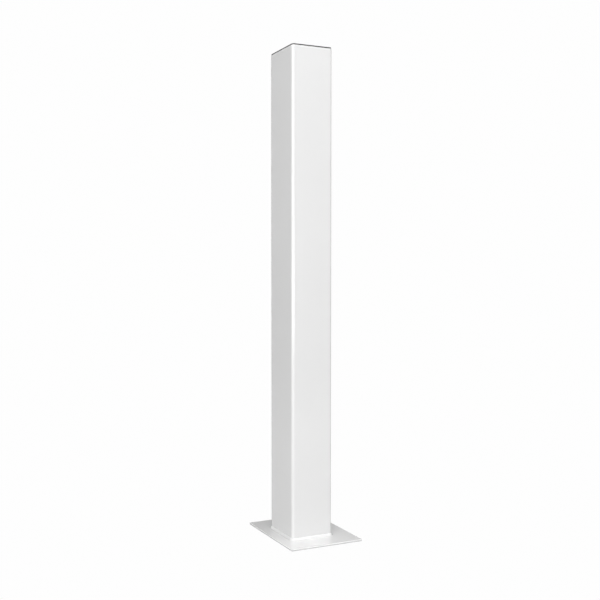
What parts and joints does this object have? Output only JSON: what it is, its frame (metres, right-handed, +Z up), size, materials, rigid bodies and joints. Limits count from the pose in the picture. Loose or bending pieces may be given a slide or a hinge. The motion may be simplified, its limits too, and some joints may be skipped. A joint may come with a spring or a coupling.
{
  "type": "newel post",
  "caption": "Square steel tube newel post with rounded corners, welded to a flat rectangular base plate and closed at the top by a thin flush end cap.",
  "frame": {"origin": "centre of the base plate's underside", "axes": "+Z up along the post; +Y along the base plate's longer side; +X towards the plate's wider margin"},
  "size_m": [0.176, 0.2, 1.0776],
  "materials": {
    "white_coat": "gloss powder coat",
    "cap_plastic": "matt dark grey"
  },
  "bodies": {
    "root": {"base_plate": "white_coat", "tube": "white_coat", "weld_bead": "white_coat", "end_cap": "cap_plastic"}
  },
  "joints": []
}
